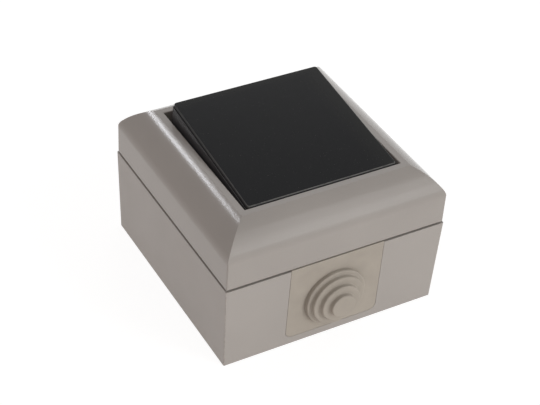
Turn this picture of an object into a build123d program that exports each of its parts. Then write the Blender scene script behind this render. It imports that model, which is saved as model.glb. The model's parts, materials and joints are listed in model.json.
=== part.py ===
from build123d import *
import math
import os

# Square surface mounted light switch, in millimetres.
# The origin is the centre of the wall face, +Z points out of the wall.
# The cable entry is in the -Y side. The far end of the rocker, at +Y, stands up.

# Back box
box_width = 80.0            # across the rim
box_height = 31.8           # wall face to rim
side_draft = 0.75           # each side leans in by this much towards the wall face
box_wall = 2.4              # side wall at the rim
box_floor = 2.4
box_corner = 0.4            # radius of the upright corners
rim_wall = 1.1              # wall left beside the rebate for the seal and the cover's lip
seal_height = 1.2

# Wall fixing slots in the floor
wall_slot_spacing = 60.0
wall_slot_length = 8.0
wall_slot_width = 4.5
wall_slot_pad = 1.0         # height of the raised pad round a slot
wall_slot_margin = 1.8      # width of the pad beside a slot

# Cable entry
entry_width = 34.0          # plate in the side wall
entry_bottom = 2.8
entry_corner = 2.5
entry_joint = 0.12          # fine gap between the plate and the wall
entry_stand = 0.35          # plate above the rim, in the groove below the cover
flange_overlap = 2.0        # hidden flange behind the wall
flange_thickness = 1.5
boss_margin = 1.9           # plate left below the stepped boss
tier_radii = (10.8, 9.3, 6.9, 4.3)
tier_rise = 1.6
tier_round = 0.45
boss_skin = 1.2             # rubber left in front of and round each step

# Cover
shadow_gap = 0.65           # open groove between the rim and the cover
cover_height = 19.3         # bottom edge to flat top
cover_inset = 0.3           # cover side behind the box side
cover_wall = 2.0
knee_rise = 11.0            # bottom edge to where the shoulder begins
knee_round = 5.0
shoulder_radius = 21.4
border = 2.35               # flat rim round the opening
lip_depth = 2.0             # lip below the rim of the box
lip_wall = 1.05
lip_clearance = 0.25

# Well in the cover, below the rocker
opening_width = 56.4
opening_edge = 0.3          # rounding of the cover's edge round the opening
well_wall = 1.6
well_floor = 1.7
aperture_length = 34.0      # along X
aperture_width = 22.0       # along Y
gasket_thickness = 1.5
gasket_seat = 1.6           # width of the gasket all round the aperture

# Rocker
rocker_tilt = 6.6           # degrees each side of level
rocker_stand = 0.35         # pressed end above the cover
rocker_side_gap = 1.25      # face to the sides of the opening
rocker_end_gap = 0.3
rocker_plate = 2.2
rocker_corner = 1.0         # radius of the upright corners
rocker_edge = 0.45          # rounding of the top edges
face_height = 1.15          # face above the skirt's ledge
ledge_side = 0.35           # ledge beside the face
ledge_end = 0.1             # ledge at the ends of the face
ledge_edge = 0.15
rocker_skirt_wall = 1.5
rocker_skirt_depth = 9.0    # top face to the bottom of the skirt
socket_wall = 1.5
hook_height = 0.8
hook_reach = 0.8
hook_length = 6.0

# Pivot and cradle
pivot_rise = 5.8            # pivot axis above the support strap
pin_radius = 2.0
running_gap = 0.05          # radial play of pins and sliding rods
ear_thickness = 3.0
ear_inner = 11.4            # inner face of a bearing ear, from the centre
ear_rim = 1.4               # ear left round the pin
side_play = 0.6             # hub to ear
cradle_hub_length = 10.0    # along Y
cradle_platform = 2.2       # thickness
hub_wall = 1.2              # hub below the pins
pin_end_gap = 0.2           # end of a pin inside the outer face of its ear
platform_length = 28.0      # along X
platform_width = 22.0       # along Y
platform_clearance = 1.4    # ear top to platform, in the level position

# Plunger and spring
plunger_reach = 13.0        # pivot axis to the plunger's tip
plunger_radius = 2.2
plunger_length = 11.0
guide_wall = 1.1
guide_depth = 6.0           # pivot axis to the mouth of the guide tube
guide_room = 1.0            # guide tube to the bearing frame at full tilt
bore_rise = 3.6             # guide bore above the pivot axis
plunger_tip_round = 1.5
spring_wire = 0.45
spring_turns = 4.5
spring_play = 0.3           # spring to bore wall
spring_end_gap = 0.05
plunger_gap = 0.2           # tip to blade, in the level position

# Moving contact
blade_ratio = 1.5           # degrees of blade for each degree of rocker
blade_end = 1.7             # blade past the middle of a tip
blade_width = 6.0
blade_thickness = 1.0
blade_corner = 1.8
tip_offset = 9.5            # contact tip from the blade's pivot
tip_radius = 1.6
tip_height = 0.8
tip_shank_radius = 0.9
tip_crown_radius = 1.3
tip_crown = 0.3
contact_gap = 0.1           # closed contacts
saddle_radius = 0.5         # groove in the blade, about its pivot
saddle_play = 0.1           # round top of the ridge in that groove

# Fixed contacts and strips
dome_radius = 5.0
fixed_contact_height = 1.0
fixed_shank_radius = 1.0
strip_thickness = 1.0
strip_width = 4.0
ridge_width = 3.0           # foot of the ridge that carries the blade
strip_play = 0.3            # strip to the side of its cage
strip_edge = 0.4            # strip past a fixed contact
strip_end_gap = 1.0         # end of a strip to the mouth of its cage

# Terminals
cage_wall = 1.2
cage_top = 2.4
wire_room = 5.2             # height of the wire hole in a cage
cage_play = 0.2
terminal_screw_radius = 1.75
terminal_head_radius = 2.6
terminal_head_height = 2.0
terminal_screw_stand = 0.8  # screw head above the cage
terminal_screw_entry = 2.8  # screw into the wire room

# Support strap and mechanism
strap_drop = 0.8            # strap seat below the rim of the box
strap_thickness = 1.2
strap_end = 4.0             # strap past a screw
strap_corner = 2.0
strap_window = 14.0         # along Y
strap_screw_room = 4.0      # mechanism body to a strap post
post_radius = 3.5
bearing_plate = 1.5
body_wall = 1.5
body_side = 5.0             # body beside the common strip
body_floor = 2.2
chamber_room = 3.0          # blade to the sides of the chamber
chamber_end = 0.7           # blade to the ends of the chamber
channel_play = 0.2
rivet_wall = 0.9            # body left beside a rivet
rivet_radius = 1.2
rivet_head_radius = 2.0
rivet_head = 0.8
rivet_depth = 8.0

# Screws
head_round = 0.7
screw_point = 0.5           # chamfer of the tip
machine_screw_radius = 1.75
pan_head_radius = 3.0
pan_head_height = 2.0
cross_slot_width = 0.8
cross_slot_length = 3.4
cross_slot_depth = 1.0
strap_screw_length = 12.0
cover_screw_radius = 1.5
cover_head_radius = 2.8
cover_head_height = 1.8
cover_post_room = 0.5       # mechanism body to a cover post, which it is cut back from
cover_screw_room = 3.2      # screw head to the side of the well
cover_screw_grip = 6.0      # length inside the threaded insert
screw_seal_thickness = 0.8
insert_radius = 2.6
insert_length = 7.0
cover_post_radius = 4.0
cover_post_rise = 2.0       # post above the strap seat
post_gap = 0.3              # cover's screw boss to the post

hole_play = 0.2             # radial play of a clearance hole
overshoot = 1.0             # how far a cut runs past a face

# Link terminal for a through conductor
link_width = 9.0            # along X
link_length = 18.0          # along Y
link_height = 11.0
link_wall = 1.2
link_wall_gap = 1.6         # block to the box wall
link_start = 8.0            # nearest end to the middle of the box
link_screw_spacing = 8.0
link_screw_radius = 1.5
link_head_radius = 2.2
link_screw_stand = 0.6

# Places worked out from the sizes above
box_half = box_width / 2
inner_half = box_half - box_wall
rebate_half = box_half - rim_wall
lip_bottom = box_height - lip_depth
rebate_floor = lip_bottom - seal_height
boss_height = entry_bottom + tier_radii[0] + boss_margin
boss_face = box_half - side_draft * (1 - boss_height / box_height)
strap_seat = box_height - strap_drop
strap_top = strap_seat + strap_thickness
plate_top = strap_top + bearing_plate
well_bottom = plate_top + gasket_thickness
well_top = well_bottom + well_floor
pivot_height = strap_top + pivot_rise
cover_bottom = box_height + shadow_gap
cover_top = cover_bottom + cover_height
cover_half = box_half - cover_inset
opening_half = opening_width / 2
crease_half = opening_half + border
lip_half = rebate_half - lip_clearance
cover_post_top = strap_seat + cover_post_rise
frame_length = aperture_length + 2 * gasket_seat
frame_width = aperture_width + 2 * gasket_seat

# The pressed end of the rocker stands just above the cover, one end gap from its side.
tilt_sine = math.sin(math.radians(rocker_tilt))
tilt_cosine = math.cos(math.radians(rocker_tilt))
end_reach = opening_half - rocker_end_gap
edge_rise = cover_top + rocker_stand - pivot_height
rocker_half_length = end_reach * tilt_cosine - edge_rise * tilt_sine
rocker_rise = (edge_rise + rocker_half_length * tilt_sine) / tilt_cosine
rocker_half_width = opening_half - rocker_side_gap
rocker_top = pivot_height + rocker_rise
rocker_ceiling = rocker_top - rocker_plate
ear_radius = pin_radius + running_gap + ear_rim
platform_bottom = pivot_height + ear_radius + platform_clearance
platform_top = platform_bottom + cradle_platform
hub_half = ear_inner - side_play
bore_radius = plunger_radius + running_gap
guide_radius = bore_radius + guide_wall

# The blade leans the other way from the rocker, about the round top of the ridge below it.
blade_angle = blade_ratio * rocker_tilt
blade_pivot = pivot_height - plunger_reach - plunger_gap - blade_thickness
blade_sine = math.sin(math.radians(blade_angle))
blade_cosine = math.cos(math.radians(blade_angle))
closed_y = tip_offset * blade_cosine - tip_height * blade_sine
closed_z = blade_pivot - tip_offset * blade_sine - tip_height * blade_cosine
dome_y = closed_y - (dome_radius + contact_gap) * blade_sine
dome_z = closed_z - (dome_radius + contact_gap) * blade_cosine
fixed_top = dome_z + dome_radius
strip_top = fixed_top - fixed_contact_height
strip_bottom = strip_top - strip_thickness
cage_bottom = strip_bottom - cage_wall
cage_height = cage_wall + wire_room + cage_top
body_bottom = cage_bottom - body_floor

# The mechanism body is laid out from the blade and its chamber outwards.
blade_length = 2 * (tip_offset + blade_end)
chamber_length = blade_length + 2 * chamber_end
chamber_width = blade_width + 2 * chamber_room
rivet_x = chamber_width / 2 + rivet_wall + rivet_radius
rivet_y = aperture_width / 2 - rivet_head_radius - hole_play
channel_width = strip_width + 2 * channel_play
common_offset = rivet_x + rivet_radius + rivet_wall + channel_width / 2
cage_width = strip_width + 2 * (strip_play + cage_wall)
pocket_width = cage_width + 2 * cage_play
terminal_offset = chamber_length / 2 + body_wall + pocket_width / 2
body_width = 2 * terminal_offset + pocket_width + 2 * body_wall
body_wing_length = 2 * common_offset + pocket_width + 2 * body_wall
body_length = 2 * common_offset + channel_width + 2 * body_side
strap_screw_offset = body_length / 2 + strap_screw_room + post_radius
strap_length = 2 * (strap_screw_offset + strap_end)
cover_screw_offset = opening_half - cover_screw_room - cover_head_radius


def block(x_range, y_range, z_range):
    """Box between two values along each axis."""
    size = [high - low for low, high in (x_range, y_range, z_range)]
    middle = [(high + low) / 2 for low, high in (x_range, y_range, z_range)]
    return Pos(*middle) * Box(*size)


def centred_block(length, width, z_range, x=0.0, y=0.0):
    """Upright box about a point of the plan."""
    return block((x - length / 2, x + length / 2), (y - width / 2, y + width / 2), z_range)


def rod(radius, z_range, x=0.0, y=0.0):
    """Upright cylinder."""
    low, high = z_range
    return Pos(x, y, (low + high) / 2) * Cylinder(radius, high - low)


def rounded_block(half, z_range, corner):
    """Upright square block with rounded corners."""
    low, high = z_range
    return extrude(Pos(0, 0, low) * RectangleRounded(2 * half, 2 * half, corner), amount=high - low)


def leaned(part):
    """Turn a piece from the level position to the rest position of the rocker."""
    return part.rotate(Axis((0, 0, pivot_height), (1, 0, 0)), rocker_tilt)


def blade_leaned(part):
    """Turn a piece from level to the rest position of the contact blade."""
    return part.rotate(Axis((0, 0, blade_pivot), (1, 0, 0)), -blade_angle)


def write(name, part):
    """Write one piece, or a group of loose solids, as a STEP file."""
    solids = list(part.solids())
    shape = solids[0] if len(solids) == 1 else Compound(children=solids)
    shape.label = name
    export_step(shape, os.path.join("parts", name + ".step"))


def pivot_rod(radius, length, x):
    """Cylinder on the rocker's pivot axis."""
    return Pos(x, 0, pivot_height) * Rot(0, 90, 0) * Cylinder(radius, length)


def blade_rod(radius, length):
    """Cylinder on the pivot axis of the contact blade."""
    return Pos(0, 0, blade_pivot) * Rot(0, 90, 0) * Cylinder(radius, length)


def terminal_places():
    """Name and plan position of each terminal."""
    return (
        ("common", common_offset, -terminal_offset),
        ("near", 0, -terminal_offset),
        ("far", 0, terminal_offset),
    )


def cross_recess(top, x, y):
    """Cross shaped recess in a screw head."""
    depth = (top - cross_slot_depth, top + overshoot)
    one = centred_block(cross_slot_length, cross_slot_width, depth, x, y)
    other = centred_block(cross_slot_width, cross_slot_length, depth, x, y)
    return one + other


def screw(shank_radius, head_size, seat, tip, x, y):
    """Pan head screw with a cross recess, its head above the seat."""
    head_radius, head_height = head_size
    head = rod(head_radius, (seat, seat + head_height), x, y)
    head = fillet(head.edges().group_by(Axis.Z)[-1], head_round)
    shank = rod(shank_radius, (tip, seat), x, y)
    shank = chamfer(shank.edges().group_by(Axis.Z)[0], screw_point)
    return head + shank - cross_recess(seat + head_height, x, y)


def drafted_block():
    """Outside of the box: rounded square, narrower at the wall face."""
    low = RectangleRounded(2 * (box_half - side_draft), 2 * (box_half - side_draft), box_corner)
    high = Pos(0, 0, box_height) * RectangleRounded(box_width, box_width, box_corner)
    return loft([low, high], ruled=True)


def entry_prism(margin, y_range, top):
    """Upright plate outline with rounded lower corners, run through in Y and cut off at the top."""
    low = entry_bottom - margin
    width = entry_width + 2 * margin
    corner = entry_corner + margin
    height = top - low + 2 * corner
    outline = Pos(0, low + height / 2) * RectangleRounded(width, height, corner)
    prism = extrude(Plane.XZ.offset(-y_range[1]) * outline, amount=y_range[1] - y_range[0])
    return prism & block((-width, width), y_range, (low - overshoot, top))


def wall_slot(side, margin, z_range):
    """Upright slot in the floor, its long way along Y, widened by a margin."""
    low, high = z_range
    outline = SlotOverall(wall_slot_length + 2 * margin, wall_slot_width + 2 * margin)
    placed = Pos(0, side * wall_slot_spacing / 2, low) * Rot(0, 0, 90) * outline
    return extrude(placed, amount=high - low)


def cover_screw_place(side):
    """Plan position of a cover screw: one near corner, one far corner."""
    return side * cover_screw_offset, side * cover_screw_offset


def back_box():
    """Box with screw posts, wall slots, a seal rebate and the opening for the cable entry."""
    box = drafted_block()
    rim = box_height + overshoot
    box -= rounded_block(inner_half, (box_floor, rim), box_corner)
    box -= rounded_block(rebate_half, (rebate_floor, rim), box_corner)
    box -= entry_prism(entry_joint, (-box_width, -inner_half + overshoot), rim)
    root = box_floor - overshoot
    for side in (-1, 1):
        box += rod(post_radius, (root, strap_seat), side * strap_screw_offset)
        box += rod(cover_post_radius, (root, cover_post_top), *cover_screw_place(side))
        pad = (root, box_floor + wall_slot_pad)
        box += wall_slot(side, wall_slot_margin, pad)
    for side in (-1, 1):
        hole = (strap_seat - strap_screw_length - overshoot, strap_seat + overshoot)
        box -= rod(machine_screw_radius + running_gap, hole, side * strap_screw_offset)
        socket = (cover_post_top - insert_length, cover_post_top + overshoot)
        box -= rod(insert_radius + running_gap, socket, *cover_screw_place(side))
        box -= wall_slot(side, 0, (-overshoot, box_floor + wall_slot_pad + overshoot))
    return box


def stepped_points(root, trim):
    """Half section of the boss, radius along X and reach along Y, made smaller by trim."""
    points = [(0, root)]
    level = root
    for index, radius in enumerate(tier_radii):
        points.append((radius - trim, level))
        level = tier_rise * (index + 1) - trim
        points.append((radius - trim, level))
    points.append((0, level))
    return points


def turned(edges):
    """Solid of revolution about the axis of the boss."""
    place = Pos(0, -boss_face, boss_height) * Rot(180, 0, 0)
    return place * revolve(make_face(edges), Axis.Y, 360)


def cable_grommet():
    """Rubber plate that slides into the side wall, with a hollow stepped boss."""
    plate = entry_prism(0, (-box_width, -inner_half), box_height) & drafted_block()
    plate -= rounded_block(rebate_half, (rebate_floor, box_height + overshoot), box_corner)
    plate += centred_block(entry_width, rim_wall, (box_height, box_height + entry_stand), 0, rim_wall / 2 - box_half)
    flange_back = -inner_half + flange_thickness
    flange = entry_prism(flange_overlap, (-inner_half, flange_back), rebate_floor)
    flange &= block((-box_half, box_half), (-box_half, 0), (box_floor, rebate_floor))
    outer = stepped_points(inner_half - boss_face, 0)
    rounded = FilletPolyline(*outer[1:], radius=tier_round)
    boss = turned([rounded, Polyline(outer[-1], outer[0], outer[1])])
    inner = stepped_points(inner_half - boss_face - flange_thickness - overshoot, boss_skin)
    return plate + flange + boss - turned(Polyline(*inner, close=True))


def lid_seal():
    """Rubber ring on the floor of the rebate, under the cover's lip."""
    height = (rebate_floor, lip_bottom)
    ring = rounded_block(rebate_half - running_gap, height, box_corner)
    return ring - rounded_block(inner_half + running_gap, height, box_corner)


def shoulder_section(inset, bottom):
    """Face of the cover's section across the whole width, all sides moved in by inset."""
    knee = Vector(cover_half, cover_bottom + knee_rise)
    crease = Vector(crease_half, cover_top)
    chord = crease - knee
    inward = Vector(-chord.Y, chord.X).normalized()
    centre = (knee + crease) * 0.5 + inward * math.sqrt(shoulder_radius ** 2 - (chord.length / 2) ** 2)
    radius = shoulder_radius - inset
    wall = cover_half - inset
    top = cover_top - inset
    start = Vector(wall, centre.Y + math.sqrt(radius ** 2 - (wall - centre.X) ** 2))
    end = Vector(centre.X + math.sqrt(radius ** 2 - (top - centre.Y) ** 2), top)
    middle = centre + ((start - centre) + (end - centre)).normalized() * radius
    arc = ThreePointArc(start, middle, end)
    rest = Polyline(end, (0, top), (0, bottom), (wall, bottom), start)
    half = make_face([arc, rest])
    corner = half.vertices().sort_by_distance((start.X, start.Y, 0))[0]
    half = fillet(corner, knee_round - inset)
    return half + mirror(half, Plane.YZ)


def vault(inset, bottom):
    """Square vault whose four shoulders meet in mitred edges."""
    along = extrude(Plane.XZ * shoulder_section(inset, bottom), amount=box_width, both=True)
    return along & along.rotate(Axis.Z, 90)


def cover_frame():
    """Cover with mitred shoulders, the rocker's well and a lip that enters the box."""
    cover = vault(0, lip_bottom) & rounded_block(cover_half, (cover_bottom, cover_top), box_corner)
    cover -= vault(cover_wall, lip_bottom - overshoot)
    lip = rounded_block(lip_half, (lip_bottom, cover_bottom + cover_wall), box_corner)
    lip_room = (lip_bottom - overshoot, cover_bottom + cover_wall + overshoot)
    cover += lip - rounded_block(lip_half - lip_wall, lip_room, box_corner)
    cover += rounded_block(opening_half + well_wall, (well_bottom, cover_top), box_corner)
    for side in (-1, 1):
        cover += rod(cover_post_radius, (cover_post_top + post_gap, well_top), *cover_screw_place(side))
    cover -= centred_block(opening_width, opening_width, (well_top, cover_top + overshoot))
    aperture = (well_bottom - overshoot, well_top + overshoot)
    cover -= centred_block(aperture_length, aperture_width, aperture)
    for side in (-1, 1):
        hole = (cover_post_top, well_top + overshoot)
        cover -= rod(cover_screw_radius + hole_play, hole, *cover_screw_place(side))
    top_edges = cover.edges().group_by(Axis.Z)[-1]
    return fillet([edge for edge in top_edges if edge.length < opening_width + overshoot], opening_edge)


def cover_screw_group():
    """Two screws that hold the cover, below the rocker."""
    seat = well_top + screw_seal_thickness
    tip = cover_post_top - cover_screw_grip
    head = (cover_head_radius, cover_head_height)
    group = [screw(cover_screw_radius, head, seat, tip, *cover_screw_place(side)) for side in (-1, 1)]
    return Compound(children=group)


def ring_group(outer, inner, z_range):
    """Two upright rings round the cover screws."""
    group = []
    for side in (-1, 1):
        place = cover_screw_place(side)
        group.append(rod(outer, z_range, *place) - rod(inner, z_range, *place))
    return Compound(children=group)


def rivet_rods(radius, z_range):
    """Four upright rods on the rivets' axes."""
    rods = Part()
    for x in (-rivet_x, rivet_x):
        for y in (-rivet_y, rivet_y):
            rods += rod(radius, z_range, x, y)
    return rods


def support_strap():
    """Steel strap that carries the mechanism between its two posts."""
    outline = RectangleRounded(strap_length, frame_width, strap_corner)
    strap = extrude(Pos(0, 0, strap_seat) * outline, amount=strap_thickness)
    through = (strap_seat - overshoot, strap_top + overshoot)
    strap -= centred_block(chamber_width, strap_window, through)
    for side in (-1, 1):
        strap -= rod(machine_screw_radius + hole_play, through, side * strap_screw_offset)
    return strap - rivet_rods(rivet_radius + running_gap, through)


def strap_screw_group():
    """Two screws that hold the strap to the box."""
    tip = strap_seat - strap_screw_length
    head = (pan_head_radius, pan_head_height)
    places = (-strap_screw_offset, strap_screw_offset)
    return Compound(children=[screw(machine_screw_radius, head, strap_top, tip, x, 0) for x in places])


def mechanism_body():
    """Insulating block with the contact chamber, strip channels and terminal pockets."""
    height = (body_bottom, strap_seat)
    body = centred_block(body_length, frame_width, height)
    body += centred_block(body_wing_length, body_width, height)
    open_top = (strip_bottom, strap_seat + overshoot)
    body -= centred_block(chamber_width, chamber_length, open_top)
    half = channel_width / 2
    body -= block((-half, half), (-terminal_offset, terminal_offset), open_top)
    body -= block((0, common_offset + half), (-half, half), open_top)
    body -= block((common_offset - half, common_offset + half), (-terminal_offset, half), open_top)
    for side in (-1, 1):
        relief = (body_bottom - overshoot, strap_seat + overshoot)
        body -= rod(cover_post_radius + cover_post_room, relief, *cover_screw_place(side))
    for _, x, y in terminal_places():
        body -= centred_block(pocket_width, pocket_width, (cage_bottom, strap_seat + overshoot), x, y)
        body -= wire_tunnel(x, math.copysign(1, y))
    return body - rivet_rods(rivet_radius + running_gap, (strap_seat - rivet_depth, strap_seat + overshoot))


def wire_tunnel(x, side):
    """Round wire entry from the outside of the mechanism body into a terminal pocket."""
    reach = body_width / 2 - terminal_offset + overshoot
    place = Pos(x, side * (terminal_offset + reach / 2), strip_bottom + wire_room / 2)
    return place * Rot(90, 0, 0) * Cylinder(cage_width / 2 - cage_wall, reach)


def bearing_frame():
    """Moulded plate on the strap, with two ears that carry the cradle's pins."""
    frame = centred_block(frame_length, frame_width, (strap_top, plate_top))
    for side in (-1, 1):
        middle = side * (ear_inner + ear_thickness / 2)
        frame += centred_block(ear_thickness, 2 * ear_radius, (strap_top, pivot_height), middle)
        frame += pivot_rod(ear_radius, ear_thickness, middle)
    frame -= pivot_rod(pin_radius + running_gap, 2 * (ear_inner + ear_thickness + overshoot), 0)
    window = 2 * (guide_radius + guide_depth * tilt_sine + guide_room)
    through = (strap_top - overshoot, plate_top + overshoot)
    frame -= centred_block(window, window, through)
    return frame - rivet_rods(rivet_radius + running_gap, through)


def mechanism_rivet_group():
    """Four rivets that clamp the bearing frame, strap and body together."""
    shanks = rivet_rods(rivet_radius, (strap_seat - rivet_depth, plate_top))
    return shanks + rivet_rods(rivet_head_radius, (plate_top, plate_top + rivet_head))


def well_gasket():
    """Rubber frame between the bearing frame and the floor of the well."""
    height = (plate_top, well_bottom)
    frame = centred_block(frame_length, frame_width, height)
    return frame - centred_block(aperture_length, aperture_width, height)


def common_strip():
    """Brass strip with the round topped ridge under the blade, bent round to its terminal."""
    height = (strip_bottom, strip_top)
    half = strip_width / 2
    strip = block((-blade_width / 2, common_offset + half), (-half, half), height)
    end = -terminal_offset - cage_width / 2 + strip_end_gap
    strip += block((common_offset - half, common_offset + half), (end, half), height)
    ridge = Polyline(
        (-ridge_width / 2, strip_top),
        (ridge_width / 2, strip_top),
        (0, blade_pivot),
        close=True,
    )
    wedge = extrude(Plane.YZ * make_face(ridge), amount=blade_width / 2, both=True)
    return strip + wedge + blade_rod(saddle_radius - saddle_play, blade_width)


def switched_strip(side):
    """Brass strip from a fixed contact to its terminal."""
    start = dome_y - tip_radius - strip_edge
    end = terminal_offset + cage_width / 2 - strip_end_gap
    ends = sorted((side * start, side * end))
    strip = block((-strip_width / 2, strip_width / 2), ends, (strip_bottom, strip_top))
    through = (strip_bottom - overshoot, strip_top + overshoot)
    return strip - rod(fixed_shank_radius + running_gap, through, 0, side * dome_y)


def fixed_contact(side):
    """Domed silver contact riveted into a strip."""
    head = rod(tip_radius, (strip_top, fixed_top + overshoot), 0, side * dome_y)
    head &= Pos(0, side * dome_y, dome_z) * Sphere(dome_radius)
    return head + rod(fixed_shank_radius, (strip_bottom, strip_top), 0, side * dome_y)


def terminal_cage(x, y):
    """Brass cage that a screw closes on the wire."""
    cage = centred_block(cage_width, cage_width, (cage_bottom, cage_bottom + cage_height), x, y)
    room = (strip_bottom, strip_bottom + wire_room)
    cage -= centred_block(cage_width - 2 * cage_wall, cage_width + 2 * overshoot, room, x, y)
    return cage - rod(terminal_screw_radius + running_gap, (strip_top, strip_top + 2 * cage_height), x, y)


def terminal_screw_group():
    """Three terminal screws."""
    seat = cage_bottom + cage_height + terminal_screw_stand
    tip = strip_bottom + wire_room - terminal_screw_entry
    head = (terminal_head_radius, terminal_head_height)
    group = [screw(terminal_screw_radius, head, seat, tip, x, y) for _, x, y in terminal_places()]
    return Compound(children=group)


def link_frame():
    """Plan limits of the link terminal."""
    low_x = -inner_half + link_wall_gap
    return (low_x, low_x + link_width), (link_start, link_start + link_length)


def link_screw_places():
    """Screw places of the link terminal."""
    (low_x, high_x), (low_y, high_y) = link_frame()
    middle = (low_y + high_y) / 2
    return [((low_x + high_x) / 2, middle + end * link_screw_spacing / 2) for end in (-1, 1)]


def link_terminal_body():
    """Moulded holder for the link clamp, open at both ends for wires."""
    x_range, y_range = link_frame()
    holder = block(x_range, y_range, (box_floor, box_floor + link_height))
    inner_x = (x_range[0] + link_wall, x_range[1] - link_wall)
    inner_z = (box_floor + link_wall, box_floor + link_height - link_wall)
    holder -= block(inner_x, (y_range[0] - overshoot, y_range[1] + overshoot), inner_z)
    for x, y in link_screw_places():
        hole = (inner_z[1] - overshoot, inner_z[1] + link_wall + overshoot)
        holder -= rod(link_head_radius + hole_play, hole, x, y)
    return holder


def link_terminal_clamp():
    """Brass tube that joins two wires."""
    x_range, y_range = link_frame()
    outer_x = (x_range[0] + link_wall + cage_play, x_range[1] - link_wall - cage_play)
    low = box_floor + link_wall
    high = box_floor + link_height - link_wall - terminal_head_height
    clamp = block(outer_x, (y_range[0] + link_wall, y_range[1] - link_wall), (low, high))
    bore_x = (outer_x[0] + link_wall, outer_x[1] - link_wall)
    clamp -= block(bore_x, (y_range[0], y_range[1]), (low + link_wall, high - link_wall))
    for x, y in link_screw_places():
        clamp -= rod(link_screw_radius + running_gap, (low + 2 * link_wall, high + overshoot), x, y)
    return clamp


def link_screw_group():
    """Two screws of the link terminal."""
    seat = box_floor + link_height - link_wall - terminal_head_height + link_screw_stand
    tip = box_floor + link_height / 2
    head = (link_head_radius, terminal_head_height)
    group = [screw(link_screw_radius, head, seat, tip, x, y) for x, y in link_screw_places()]
    return Compound(children=group)


def rocker_block(half_x, half_y, z_range):
    """Block about the middle of the rocker with rounded upright corners."""
    slab = centred_block(2 * half_x, 2 * half_y, z_range)
    return fillet(slab.edges().filter_by(Axis.Z), rocker_corner)


def rocker():
    """Large rocker face on a skirt, with cross ribs and the socket that clips on the cradle."""
    ledge = rocker_top - face_height
    face = rocker_block(rocker_half_width, rocker_half_length, (ledge, rocker_top))
    face = fillet(face.edges().group_by(Axis.Z)[-1], rocker_edge)
    skirt_x = rocker_half_width + ledge_side
    skirt_y = rocker_half_length + ledge_end
    skirt_bottom = rocker_top - rocker_skirt_depth
    shell = rocker_block(skirt_x, skirt_y, (skirt_bottom, ledge))
    shell = chamfer(shell.edges().group_by(Axis.Z)[-1], ledge_edge)
    inside_x = 2 * (skirt_x - rocker_skirt_wall)
    inside_y = 2 * (skirt_y - rocker_skirt_wall)
    shell -= centred_block(inside_x, inside_y, (skirt_bottom - overshoot, rocker_ceiling))
    socket_bottom = platform_bottom - hook_height
    socket_x = platform_length + 2 * running_gap
    socket_y = platform_width + 2 * running_gap
    ring_height = (socket_bottom, rocker_ceiling)
    ring = centred_block(socket_x + 2 * socket_wall, socket_y + 2 * socket_wall, ring_height)
    ring -= centred_block(socket_x, socket_y, (socket_bottom - overshoot, rocker_ceiling))
    ribs = centred_block(socket_x, socket_wall, (platform_top, rocker_ceiling))
    ribs += centred_block(socket_wall, socket_y, (platform_top, rocker_ceiling))
    part = face + shell + ring + ribs
    for end in (-1, 1):
        hook_y = end * (socket_y / 2 - hook_reach / 2)
        part += centred_block(hook_length, hook_reach, (socket_bottom, platform_bottom), 0, hook_y)
    return leaned(part)


def rocker_cradle():
    """Cradle with the pivot pins, the plunger's guide tube and the platform under the rocker."""
    hub_height = (pivot_height - pin_radius - hub_wall, platform_bottom)
    cradle = centred_block(2 * hub_half, cradle_hub_length, hub_height)
    cradle += centred_block(platform_length, platform_width, (platform_bottom, platform_top))
    cradle += pivot_rod(pin_radius, 2 * (ear_inner + ear_thickness - pin_end_gap), 0)
    mouth = pivot_height - guide_depth
    cradle += rod(guide_radius, (mouth, pivot_height))
    cradle -= rod(bore_radius, (mouth - overshoot, pivot_height + bore_rise))
    return leaned(cradle)


def plunger():
    """Round tipped plunger that presses on the contact blade."""
    tip = pivot_height - plunger_reach
    body = rod(plunger_radius, (tip, tip + plunger_length))
    body = fillet(body.edges().group_by(Axis.Z)[0], plunger_tip_round)
    return leaned(body)


def contact_spring():
    """Coil spring between the end of the guide bore and the plunger."""
    end = spring_wire / 2 + spring_end_gap
    low = pivot_height - plunger_reach + plunger_length + end
    high = pivot_height + bore_rise - end
    coil_radius = bore_radius - spring_play - spring_wire / 2
    pitch = (high - low) / spring_turns
    path = Helix(pitch, high - low, coil_radius, center=(0, 0, low))
    profile = Plane(path @ 0, z_dir=path % 0) * Circle(spring_wire / 2)
    return leaned(sweep(profile, path))


def contact_blade():
    """Brass blade with a groove that rocks on the ridge of the common strip."""
    height = (blade_pivot, blade_pivot + blade_thickness)
    blade = centred_block(blade_width, blade_length, height)
    blade = fillet(blade.edges().filter_by(Axis.Z), blade_corner)
    through = (height[0] - overshoot, height[1] + overshoot)
    for end in (-1, 1):
        blade -= rod(tip_shank_radius + running_gap, through, 0, end * tip_offset)
    return blade_leaned(blade - blade_rod(saddle_radius, blade_width + 2 * overshoot))


def contact_tip_group():
    """Silver contact rivets at the two ends of the blade."""
    top = blade_pivot + blade_thickness
    group = []
    for end in (-1, 1):
        y = end * tip_offset
        tip = rod(tip_radius, (blade_pivot - tip_height, blade_pivot), 0, y)
        tip += rod(tip_shank_radius, (blade_pivot, top), 0, y)
        tip += rod(tip_crown_radius, (top, top + tip_crown), 0, y)
        group.append(blade_leaned(tip))
    return Compound(children=group)


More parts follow.
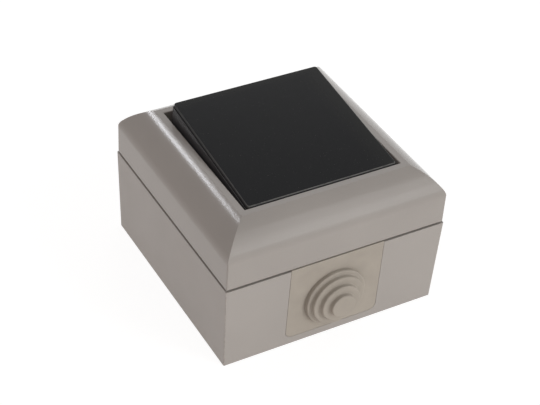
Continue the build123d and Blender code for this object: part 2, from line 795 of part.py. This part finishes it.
def main():
    os.makedirs("parts", exist_ok=True)
    write("back_box", back_box())
    write("cable_grommet", cable_grommet())
    write("lid_seal", lid_seal())
    write("cover_frame", cover_frame())
    write("cover_screws", cover_screw_group())
    seal_range = (well_top, well_top + screw_seal_thickness)
    write("cover_screw_seals", ring_group(cover_head_radius, cover_screw_radius + running_gap, seal_range))
    insert_range = (cover_post_top - insert_length, cover_post_top)
    write("threaded_inserts", ring_group(insert_radius, cover_screw_radius + running_gap, insert_range))
    write("support_strap", support_strap())
    write("strap_screws", strap_screw_group())
    write("mechanism_body", mechanism_body())
    write("bearing_frame", bearing_frame())
    write("mechanism_rivets", mechanism_rivet_group())
    write("well_gasket", well_gasket())
    write("common_strip", common_strip())
    for name, side in (("near", -1), ("far", 1)):
        write(name + "_contact_strip", switched_strip(side))
        write(name + "_fixed_contact", fixed_contact(side))
    for name, x, y in terminal_places():
        write(name + "_terminal_cage", terminal_cage(x, y))
    write("terminal_screws", terminal_screw_group())
    write("link_terminal_body", link_terminal_body())
    write("link_terminal_clamp", link_terminal_clamp())
    write("link_terminal_screws", link_screw_group())
    write("rocker", rocker())
    write("rocker_cradle", rocker_cradle())
    write("plunger", plunger())
    write("contact_spring", contact_spring())
    write("contact_blade", contact_blade())
    write("contact_tips", contact_tip_group())


main()
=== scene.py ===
import json
import math

import bpy
from mathutils import Matrix, Vector


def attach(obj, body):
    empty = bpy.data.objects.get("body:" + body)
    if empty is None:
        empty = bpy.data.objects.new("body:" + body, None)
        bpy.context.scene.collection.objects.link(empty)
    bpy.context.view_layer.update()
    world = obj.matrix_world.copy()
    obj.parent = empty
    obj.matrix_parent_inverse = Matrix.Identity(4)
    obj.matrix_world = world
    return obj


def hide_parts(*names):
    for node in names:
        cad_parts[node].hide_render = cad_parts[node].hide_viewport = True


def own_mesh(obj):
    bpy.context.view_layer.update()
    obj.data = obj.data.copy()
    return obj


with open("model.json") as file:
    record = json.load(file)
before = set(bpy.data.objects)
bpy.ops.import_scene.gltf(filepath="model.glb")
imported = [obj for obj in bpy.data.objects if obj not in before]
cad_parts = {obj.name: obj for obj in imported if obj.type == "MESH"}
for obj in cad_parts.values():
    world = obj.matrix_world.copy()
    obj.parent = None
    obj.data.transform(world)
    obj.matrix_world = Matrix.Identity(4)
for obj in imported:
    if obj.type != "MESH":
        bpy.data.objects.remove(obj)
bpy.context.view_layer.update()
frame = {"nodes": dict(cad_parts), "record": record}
nodes = frame["nodes"]
MM = 0.001

# Camera of the photograph, in degrees and millimetres
AZIMUTH = -31.36
ELEVATION = 38.216
ROLL = 3.878
DISTANCE = 492.576
TARGET = (-1.83, 0.67, 25.0)
LENS = 97.894
SENSOR_WIDTH = 36
CLIP_RANGE = (10, 20000)

# Light of the sky on the object: at the horizon, straight up, its tint at the left, and where
# the tint ends, on a scale from -1 at the left to 1 at the right
SKY_LOW = 0.21
SKY_HIGH = 0.45
SKY_LEFT = (1.13, 0.92, 0.83)
SKY_LEFT_END = 0.2

# Floor: half its width and its depth below the object, in millimetres, the strength and tint of
# its light on the object, its own finish, and the glow and the matt grey that the camera sees
FLOOR_HALF = 6000
FLOOR_DROP = 0.05
FLOOR_GLOW = 0.3
FLOOR_TINT = (1, 0.9, 0.84)
FLOOR_GREY = 0.9
FLOOR_ROUGHNESS = 0.8
FLOOR_SEEN_GLOW = 0.86
FLOOR_SEEN_GREY = 0.3

# Distance of the lamps and the height of the point that they face, in millimetres
LAMP_DISTANCE = 1100
LAMP_AIM = 40

# Contact spring, in degrees from upright and in millimetres from the rocker's pivot along the
# plunger
PIVOT_HEIGHT = 38.0
TILT = 6.6
SPRING_LOW = -1.725
SPRING_HIGH = 3.325
COIL_RADIUS = 1.725
WIRE_RADIUS = 0.225
COIL_TURNS = 4.5
RINGS_PER_TURN = 24
WIRE_SIDES = 12

# Share of slow colour drift in mouldings, and of mottling in rubber
DRIFT = 0.025
MOTTLE = 0.05

# How far from square to the axes a surface is where rounding starts and where it is full
ROUNDING = (0.015, 0.12)

# Places on the rocker, in metres: the rims at +X and +Y with a painted sheen, the height over
# which the sides' painted reflection turns paler downwards as painted light in the gap, and the
# stretches over which the painted edge highlights turn paler towards -Y
SHEEN_X = (0.018, 0.028)
SHEEN_Y = (0.0195, 0.0245)
GAP_LIGHT_Z = (0.0555, 0.0505)
EDGE_HIGHLIGHT_Y = (0.016, -0.026)
NEAR_EDGE_HIGHLIGHT_Y = (-0.026, -0.0275)


def srgb(*levels):
    """Linear colour of an 8 bit one."""
    values = [v / 255 for v in levels]
    return tuple(v / 12.92 if v <= 0.04045 else ((v + 0.055) / 1.055) ** 2.4 for v in values)


def tone(colour, share):
    """Colour made paler by a share, or darker by a negative one."""
    return tuple(min(1.0, c * (1 + share)) for c in colour)


def add_object(name, data):
    made = bpy.data.objects.new(name, data)
    bpy.context.scene.collection.objects.link(made)
    return made


def make_camera():
    az, el, roll = (math.radians(a) for a in (AZIMUTH, ELEVATION, ROLL))
    back = Vector((math.sin(az) * math.cos(el), -math.cos(az) * math.cos(el), math.sin(el)))
    right = Vector((math.cos(az), math.sin(az), 0))
    up = back.cross(right)
    side = math.cos(roll) * right + math.sin(roll) * up
    top = math.cos(roll) * up - math.sin(roll) * right
    data = bpy.data.cameras.new("camera")
    data.lens = LENS
    data.sensor_width = SENSOR_WIDTH
    data.clip_start, data.clip_end = (reach * MM for reach in CLIP_RANGE)
    camera = add_object("camera", data)
    place = (Vector(TARGET) + DISTANCE * back) * MM
    turn = Matrix((side, top, back)).transposed().to_4x4()
    camera.matrix_world = Matrix.Translation(place) @ turn
    bpy.context.scene.camera = camera
    bpy.context.scene.view_settings.view_transform = "Standard"


class Finish:
    """Material with the few node chains that the finishes share."""

    def __init__(self, name, roughness, specular=0.5, metallic=0.0):
        self.material = bpy.data.materials.new(name)
        self.material.use_nodes = True
        self.tree = self.material.node_tree
        self.shader = self.tree.nodes["Principled BSDF"]
        self.shader.inputs["Specular IOR Level"].default_value = specular
        self.shader.inputs["Metallic"].default_value = metallic
        self.coords = self.node("TexCoord")
        self.place = self.coords.outputs["Object"]
        self.roughness = roughness
        self.normal = None

    def node(self, kind, **settings):
        made = self.tree.nodes.new("ShaderNode" + kind)
        for key, value in settings.items():
            setattr(made, key, value)
        return made

    def link(self, output, target):
        self.tree.links.new(output, target)

    def feed(self, source, socket):
        """Give a socket a colour, a level or the output of a node."""
        if isinstance(source, tuple):
            socket.default_value = (*source, 1)
        elif isinstance(source, float):
            socket.default_value = source
        else:
            self.link(source, socket)

    def noise(self, size, detail, stretch=(1, 1, 1), distortion=0.0, roughness=0.5):
        """Noise with features of about this size in millimetres, stretched along the axes."""
        mapping = self.node("Mapping")
        mapping.inputs["Scale"].default_value = [1000 / (size * s) for s in stretch]
        self.link(self.place, mapping.inputs["Vector"])
        made = self.node("TexNoise")
        made.inputs["Scale"].default_value = 1.0
        made.inputs["Detail"].default_value = detail
        made.inputs["Distortion"].default_value = distortion
        made.inputs["Roughness"].default_value = roughness
        self.link(mapping.outputs["Vector"], made.inputs["Vector"])
        return made.outputs["Fac"]

    def ramp(self, value, stops):
        """Colour or level that follows a value through a list of places."""
        made = self.node("ValToRGB")
        points = made.color_ramp.elements
        while len(points) < len(stops):
            points.new(0.5)
        for point, (place, colour) in zip(points, stops):
            point.position = place
            point.color = (*colour, 1) if isinstance(colour, tuple) else (colour, colour, colour, 1)
        self.link(value, made.inputs["Fac"])
        return made.outputs["Color"]

    def blend(self, first, second, amount, kind="MIX"):
        """Mix of two colours by a level."""
        made = self.node("Mix", data_type="RGBA", blend_type=kind)
        self.feed(amount, made.inputs[0])
        self.feed(first, made.inputs[6])
        self.feed(second, made.inputs[7])
        return made.outputs[2]

    def math(self, operation, first, second=0.0):
        made = self.node("Math", operation=operation)
        self.feed(first, made.inputs[0])
        self.feed(second, made.inputs[1])
        return made.outputs[0]

    def parts_of(self, vector):
        """The three levels of a vector."""
        made = self.node("SeparateXYZ")
        self.link(vector, made.inputs[0])
        return made.outputs

    def step(self, value, start, end):
        """Level that goes from 0 to 1 between two values."""
        made = self.node("MapRange", interpolation_type="SMOOTHSTEP")
        made.inputs["From Min"].default_value = start
        made.inputs["From Max"].default_value = end
        self.link(value, made.inputs["Value"])
        return made.outputs["Result"]

    def facing(self):
        """How far the surface faces along each axis, either way."""
        return [self.math("ABSOLUTE", level) for level in self.parts_of(self.coords.outputs["Normal"])]

    def rounding(self):
        """1 on rounded edges and corners, 0 on faces square to the axes."""
        x, y, z = self.facing()
        most = self.math("MAXIMUM", self.math("MAXIMUM", x, y), z)
        return self.step(self.math("SUBTRACT", 1.0, most), *ROUNDING)

    def colour(self, value):
        self.link(value, self.shader.inputs["Base Color"])

    def gloss(self, value, spread):
        """Roughness that follows a level, by this share either way."""
        made = self.node("MapRange")
        made.inputs["To Min"].default_value = self.roughness * (1 - spread)
        made.inputs["To Max"].default_value = self.roughness * (1 + spread)
        self.link(value, made.inputs["Value"])
        self.link(made.outputs["Result"], self.shader.inputs["Roughness"])

    def bump(self, value, height):
        """Relief of a level, this many millimetres high, over what is there."""
        made = self.node("Bump")
        made.inputs["Strength"].default_value = 1.0
        made.inputs["Distance"].default_value = height * MM
        self.link(value, made.inputs["Height"])
        if self.normal:
            self.link(self.normal, made.inputs["Normal"])
        self.normal = made.outputs["Normal"]
        self.link(self.normal, self.shader.inputs["Normal"])


def moulding(name, colour, roughness, specular=0.5, grain=(0.25, 0.006), wave=(6.0, 0.002), wear_and_highlight=0.0):
    """Moulded plastic: slow colour drift, uneven gloss, relief and paler rounded edges in patches, partly
    from rubbing and partly a painted edge highlight.

    Grain and wave are the size and the height of the fine and the slow relief, in millimetres.
    """
    made = Finish(name, roughness, specular)
    base = made.ramp(made.noise(26, detail=3), [(0.32, tone(colour, -DRIFT)), (0.68, tone(colour, DRIFT))])
    grain_size, grain_height = grain
    fine = made.noise(grain_size, detail=4, roughness=0.6)
    speck = made.ramp(fine, [(0.3, 0.965), (0.7, 1.0)])
    base = made.blend(base, speck, 1.0, "MULTIPLY")
    # Paler rounded edges in patches: partly from rubbing, partly a painted edge highlight
    if wear_and_highlight:
        patchy_edges = made.math("MULTIPLY", made.rounding(), made.step(made.noise(1.5, detail=3), 0.35, 0.65))
        base = made.blend(base, tone(colour, wear_and_highlight), patchy_edges)
    made.colour(base)
    made.gloss(made.noise(9, detail=3, distortion=0.6), spread=0.15)
    wave_size, wave_height = wave
    made.bump(made.noise(wave_size, detail=1), wave_height)
    made.bump(fine, grain_height)
    return made.material


def dark_rocker(name):
    """Dark moulding: painted edge highlights, a painted sheen on the +X and +Y rims, sides painted paler
    than the face as a painted reflection and paler downwards as painted light in the gap, fine dust on it.
    """
    made = Finish(name, roughness=0.22, specular=0.14)
    x, y, z = made.parts_of(made.place)
    base = made.ramp(made.noise(22, detail=3), [(0.3, srgb(9, 10, 13)), (0.7, srgb(13, 14, 17))])
    # Painted sheen: the +X and +Y rims paler than the rest of the face
    painted_sheen = made.math("MAXIMUM", made.step(x, *SHEEN_X), made.step(y, *SHEEN_Y))
    base = made.blend(base, srgb(28, 29, 28), painted_sheen)
    # Painted reflection: the sides paler than the face, and paler downwards as painted light in the gap
    upright = made.step(made.facing()[2], 0.7, 0.2)
    side = made.blend(srgb(52, 52, 53), srgb(76, 76, 78), made.step(z, *GAP_LIGHT_Z))
    base = made.blend(base, side, upright)
    smudge = made.noise(2.2, detail=4, distortion=0.5)
    # Painted highlight: the rounded edges paler in patches, more so towards the near (-Y) edge
    patchy_edges = made.math("MULTIPLY", made.rounding(), made.step(smudge, 0.1, 0.5))
    edge = made.blend(srgb(54, 54, 55), srgb(82, 82, 82), made.step(y, *EDGE_HIGHLIGHT_Y))
    edge = made.blend(edge, srgb(96, 96, 94), made.step(y, *NEAR_EDGE_HIGHLIGHT_Y))
    base = made.blend(base, edge, patchy_edges)
    motes = made.ramp(made.noise(0.42, detail=1), [(0.745, 0.0), (0.775, 0.22)])
    base = made.blend(base, srgb(140, 139, 137), motes)
    made.colour(base)
    made.gloss(smudge, spread=0.12)
    made.bump(made.noise(6, detail=1), height=0.001)
    made.bump(made.noise(0.25, detail=4, roughness=0.6), height=0.003)
    return made.material


def rubber(name, colour, roughness):
    """Soft rubber: cloudy bloom, rough fine skin."""
    made = Finish(name, roughness, specular=0.3)
    cloud = made.noise(7, detail=4, distortion=0.4)
    made.colour(made.ramp(cloud, [(0.3, tone(colour, -MOTTLE)), (0.7, tone(colour, MOTTLE))]))
    made.gloss(cloud, spread=0.1)
    made.bump(made.noise(1.6, detail=2), height=0.01)
    made.bump(made.noise(0.18, detail=4, roughness=0.65), height=0.012)
    return made.material


def metal(name, colour, dark, roughness, stretch):
    """Stamped or plated metal: rolling lines, darker tarnish in clouds."""
    made = Finish(name, roughness, metallic=1.0)
    lines = made.noise(0.12, detail=3, stretch=stretch)
    cloud = made.noise(2.5, detail=4, distortion=0.8)
    made.colour(made.ramp(cloud, [(0.35, dark), (0.65, colour)]))
    made.gloss(lines, spread=0.35)
    made.bump(lines, height=0.003)
    return made.material


def make_spring(finish):
    """Coil in place of the rigid one, shortened by the plunger against the end of its bore."""
    rings = int(COIL_TURNS * RINGS_PER_TURN) + 1
    turns = 2 * math.pi * COIL_TURNS
    length = SPRING_HIGH - SPRING_LOW
    points = []
    for ring in range(rings):
        share = ring / (rings - 1)
        out = Vector((math.cos(turns * share), math.sin(turns * share), 0))
        along = Vector((-COIL_RADIUS * out.y, COIL_RADIUS * out.x, length / turns)).normalized()
        middle = COIL_RADIUS * out + Vector((0, 0, SPRING_LOW + length * share))
        for side in range(WIRE_SIDES):
            turn = 2 * math.pi * side / WIRE_SIDES
            spoke = math.cos(turn) * out + math.sin(turn) * along.cross(out)
            points.append((middle + WIRE_RADIUS * spoke) * MM)
    first_end = tuple(range(WIRE_SIDES))
    last_end = tuple((rings - 1) * WIRE_SIDES + side for side in reversed(range(WIRE_SIDES)))
    faces = [first_end, last_end]
    for ring in range(rings - 1):
        start = ring * WIRE_SIDES
        for side in range(WIRE_SIDES):
            first = start + side
            second = start + (side + 1) % WIRE_SIDES
            faces.append((first, first + WIRE_SIDES, second + WIRE_SIDES, second))
    mesh = bpy.data.meshes.new("spring_coil")
    mesh.from_pydata(points, [], faces)
    mesh.shade_smooth()
    mesh.materials.append(finish)
    coil = add_object("spring_coil", mesh)
    pivot = Vector((0, 0, PIVOT_HEIGHT * MM))
    tilt = Matrix.Rotation(math.radians(TILT), 4, "X")
    coil.matrix_world = Matrix.Translation(pivot) @ tilt
    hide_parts("contact_spring")
    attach(coil, "rocker")
    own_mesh(coil)


def shown(tree, seen, other):
    """Shader for what the camera, gloss and glass see, and another for all other light."""
    make, link = tree.nodes.new, tree.links.new
    path = make("ShaderNodeLightPath")
    level = path.outputs["Is Camera Ray"]
    for name in ("Is Glossy Ray", "Is Transmission Ray"):
        most = make("ShaderNodeMath")
        most.operation = "MAXIMUM"
        link(level, most.inputs[0])
        link(path.outputs[name], most.inputs[1])
        level = most.outputs[0]
    mix = make("ShaderNodeMixShader")
    link(level, mix.inputs["Fac"])
    link(other, mix.inputs[1])
    link(seen, mix.inputs[2])
    return mix.outputs["Shader"]


def make_floor():
    """Pale floor that shows white, with the object's shadow."""
    half = FLOOR_HALF * MM
    corners = [(-half, -half, 0), (half, -half, 0), (half, half, 0), (-half, half, 0)]
    mesh = bpy.data.meshes.new("floor")
    mesh.from_pydata(corners, [], [(0, 1, 2, 3)])
    floor = add_object("floor", mesh)
    floor.location.z = -FLOOR_DROP * MM
    material = bpy.data.materials.new("floor_look")
    material.use_nodes = True
    tree = material.node_tree
    make, link = tree.nodes.new, tree.links.new
    shader = tree.nodes["Principled BSDF"]
    shader.inputs["Base Color"].default_value = (FLOOR_GREY, FLOOR_GREY, FLOOR_GREY, 1)
    shader.inputs["Roughness"].default_value = FLOOR_ROUGHNESS
    shader.inputs["Emission Color"].default_value = (*FLOOR_TINT, 1)
    shader.inputs["Emission Strength"].default_value = FLOOR_GLOW
    glow = make("ShaderNodeEmission")
    glow.inputs["Strength"].default_value = FLOOR_SEEN_GLOW
    matt = make("ShaderNodeBsdfDiffuse")
    matt.inputs["Color"].default_value = (FLOOR_SEEN_GREY, FLOOR_SEEN_GREY, FLOOR_SEEN_GREY, 1)
    both = make("ShaderNodeAddShader")
    link(glow.outputs["Emission"], both.inputs[0])
    link(matt.outputs["BSDF"], both.inputs[1])
    result = shown(tree, both.outputs["Shader"], shader.outputs["BSDF"])
    link(result, tree.nodes["Material Output"].inputs["Surface"])
    mesh.materials.append(material)


def make_world():
    """White room: dimmer at the horizon than from above, tinted at the left."""
    world = bpy.data.worlds.new("world")
    bpy.context.scene.world = world
    world.use_nodes = True
    tree = world.node_tree
    make, link = tree.nodes.new, tree.links.new
    sky = tree.nodes["Background"]
    split = make("ShaderNodeSeparateXYZ")
    link(make("ShaderNodeTexCoord").outputs["Generated"], split.inputs["Vector"])
    level = make("ShaderNodeMapRange")
    level.inputs["To Min"].default_value = SKY_LOW
    level.inputs["To Max"].default_value = SKY_HIGH
    link(split.outputs["Z"], level.inputs["Value"])
    link(level.outputs["Result"], sky.inputs["Strength"])
    left = make("ShaderNodeMapRange")
    left.inputs["From Min"].default_value = -1
    left.inputs["From Max"].default_value = SKY_LEFT_END
    left.inputs["To Min"].default_value = 1
    left.inputs["To Max"].default_value = 0
    link(split.outputs["X"], left.inputs["Value"])
    tint = make("ShaderNodeMix")
    tint.data_type = "RGBA"
    tint.inputs[6].default_value = (1, 1, 1, 1)
    tint.inputs[7].default_value = (*SKY_LEFT, 1)
    link(left.outputs["Result"], tint.inputs[0])
    link(tint.outputs[2], sky.inputs["Color"])
    white = make("ShaderNodeBackground")
    white.inputs["Color"].default_value = (1, 1, 1, 1)
    result = shown(tree, white.outputs["Background"], sky.outputs["Background"])
    link(result, tree.nodes["World Output"].inputs["Surface"])


def lamp(name, way, size, radiance, spin=0.0, colour=(1, 1, 1)):
    """Soft lamp in a direction from the object, facing it: a rectangle in millimetres, this bright."""
    data = bpy.data.lights.new(name, "AREA")
    data.shape = "RECTANGLE"
    data.size, data.size_y = (s * MM for s in size)
    data.color = colour
    data.energy = radiance * math.pi * data.size * data.size_y
    made = add_object(name, data)
    way = Vector(way).normalized()
    turn = way.to_track_quat("Z", "Y").to_matrix().to_4x4() @ Matrix.Rotation(math.radians(spin), 4, "Z")
    place = (way * LAMP_DISTANCE + Vector((0, 0, LAMP_AIM))) * MM
    made.matrix_world = Matrix.Translation(place) @ turn
    return made


make_camera()

finishes = {
    "box_plastic": moulding("box_look", srgb(166, 161, 156), roughness=0.42, specular=0.35,
                            grain=(0.22, 0.009), wave=(5, 0.004), wear_and_highlight=0.25),
    "cover_plastic": moulding("cover_look", srgb(164, 159, 154), roughness=0.16, specular=0.24,
                              grain=(0.3, 0.0001), wave=(14, 0.0001)),
    "rocker_plastic": dark_rocker("rocker_look"),
    "entry_rubber": rubber("entry_look", srgb(167, 160, 150), roughness=0.7),
    "seal_rubber": rubber("seal_look", srgb(38, 38, 38), roughness=0.65),
    "cradle_plastic": moulding("cradle_look", srgb(205, 205, 202), roughness=0.45),
    "insulator": moulding("insulator_look", srgb(222, 220, 214), roughness=0.45),
    "brass": metal("brass_look", (0.72, 0.55, 0.25), dark=(0.5, 0.34, 0.13),
                   roughness=0.3, stretch=(1, 20, 1)),
    "zinc_steel": metal("zinc_look", (0.66, 0.67, 0.68), dark=(0.5, 0.51, 0.52),
                        roughness=0.28, stretch=(20, 1, 1)),
    "contact_silver": metal("silver_look", (0.84, 0.83, 0.8), dark=(0.66, 0.63, 0.57),
                            roughness=0.25, stretch=(1, 1, 1)),
}
for row in frame["record"]["subparts"]:
    mesh = nodes[row["node"]].data
    mesh.materials.clear()
    mesh.materials.append(finishes[row["material_slot"]])

make_spring(finishes["zinc_steel"])
make_floor()
make_world()
lamp("key", (0.444, -0.686, 0.58), size=(290, 575), radiance=2.35, spin=-31.7)
lamp("key core", (0.44, -0.815, 0.385), size=(290, 520), radiance=1.8, spin=-31.7)
front = lamp("front", (0.42, -0.9, 0.1), size=(900, 300), radiance=4.0)
# Its gloss would turn the rocker white from behind
front.visible_glossy = False
lamp("back", (0.427, 0.707, 0.565), size=(460, 295), radiance=1.35, spin=20)
lamp("streak", (-0.346, 0.725, 0.597), size=(225, 76), radiance=26, spin=45.4, colour=(0.93, 0.95, 1))
